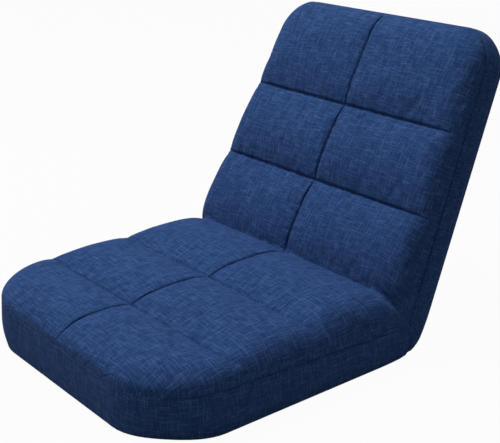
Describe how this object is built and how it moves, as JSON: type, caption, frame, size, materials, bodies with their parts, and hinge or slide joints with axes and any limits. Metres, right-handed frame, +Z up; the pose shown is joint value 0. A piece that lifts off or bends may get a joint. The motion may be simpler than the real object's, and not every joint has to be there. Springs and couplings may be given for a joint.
{
  "type": "folding floor chair",
  "caption": "Padded floor chair with a quilted seat and a folding, ratchet-reclining back on an inner tube frame, for sitting on a floor.",
  "frame": {"origin": "centre of the seat's flat underside, on the floor", "axes": "the chair faces -Y, +X is on the right seen from the front, +Z is up"},
  "size_m": [0.54, 0.7343, 0.5059],
  "materials": {
    "face_cloth": "linen-look woven polyester, slubbed, matt",
    "underside_cloth": "plain non-slip woven cloth, matt",
    "foam": "open-cell cushion foam",
    "frame_paint": "powder-coated steel tube",
    "zinc_steel": "zinc-plated pressed steel",
    "zip": "zip tape with moulded teeth"
  },
  "bodies": {
    "seat": {"seat_frame_tube": "frame_paint", "seat_front_cross_bar": "frame_paint", "seat_rear_cross_bar": "frame_paint", "ratchet_plate_left": "zinc_steel", "ratchet_plate_right": "zinc_steel", "ratchet_plate_rivets": "zinc_steel", "seat_base_foam": "foam", "seat_foam": "foam", "seat_cover_top": "face_cloth", "seat_rear_cover": "face_cloth", "seat_side_band": "face_cloth", "seat_base_panel": "underside_cloth", "zip_tape": "zip", "crease_foam": "foam", "side_gusset_left": "face_cloth", "side_gusset_right": "face_cloth", "rear_gusset": "face_cloth"},
    "back": {"back_frame_tube": "frame_paint", "back_lower_cross_bar": "frame_paint", "back_upper_cross_bar": "frame_paint", "hinge_cheeks_left": "zinc_steel", "hinge_cheeks_right": "zinc_steel", "hinge_pivot_left": "zinc_steel", "hinge_pivot_right": "zinc_steel", "cheek_rivets": "zinc_steel", "pawl_pin_left": "zinc_steel", "pawl_pin_right": "zinc_steel", "pawl_spring_left": "zinc_steel", "pawl_spring_right": "zinc_steel", "back_base_foam": "foam", "back_foam": "foam", "back_cover_front": "face_cloth", "back_lower_cover": "face_cloth", "back_side_band": "face_cloth", "back_rear_panel": "face_cloth"},
    "pawl_left": {"pawl_left": "zinc_steel"},
    "pawl_right": {"pawl_right": "zinc_steel"},
    "zip_slider": {"zip_slider": "zinc_steel"}
  },
  "joints": [
    {"name": "back_recline", "type": "hinge", "parent": "seat", "child": "back", "pos_m": [0, 0.2525, 0.035], "axis": [-1, 0, 0], "range_deg": [-75, 65], "deforming": ["crease_foam", "seat_rear_cover", "back_lower_cover", "side_gusset_left", "side_gusset_right", "rear_gusset"]},
    {"name": "pawl_left_swing", "type": "hinge", "parent": "back", "child": "pawl_left", "pos_m": [-0.205, 0.27218, 0.05122], "axis": [1, 0, 0], "range_deg": [0, 6.5], "stiffness_Nm_per_rad": 0.02, "springref_deg": 6.88},
    {"name": "pawl_right_swing", "type": "hinge", "parent": "back", "child": "pawl_right", "pos_m": [0.205, 0.27218, 0.05122], "axis": [1, 0, 0], "range_deg": [0, 6.5], "stiffness_Nm_per_rad": 0.02, "springref_deg": 6.88},
    {"name": "zip_slide", "type": "slide", "parent": "seat", "child": "zip_slider", "axis": [1, 0, 0], "range_m": [0, 0.32]}
  ]
}
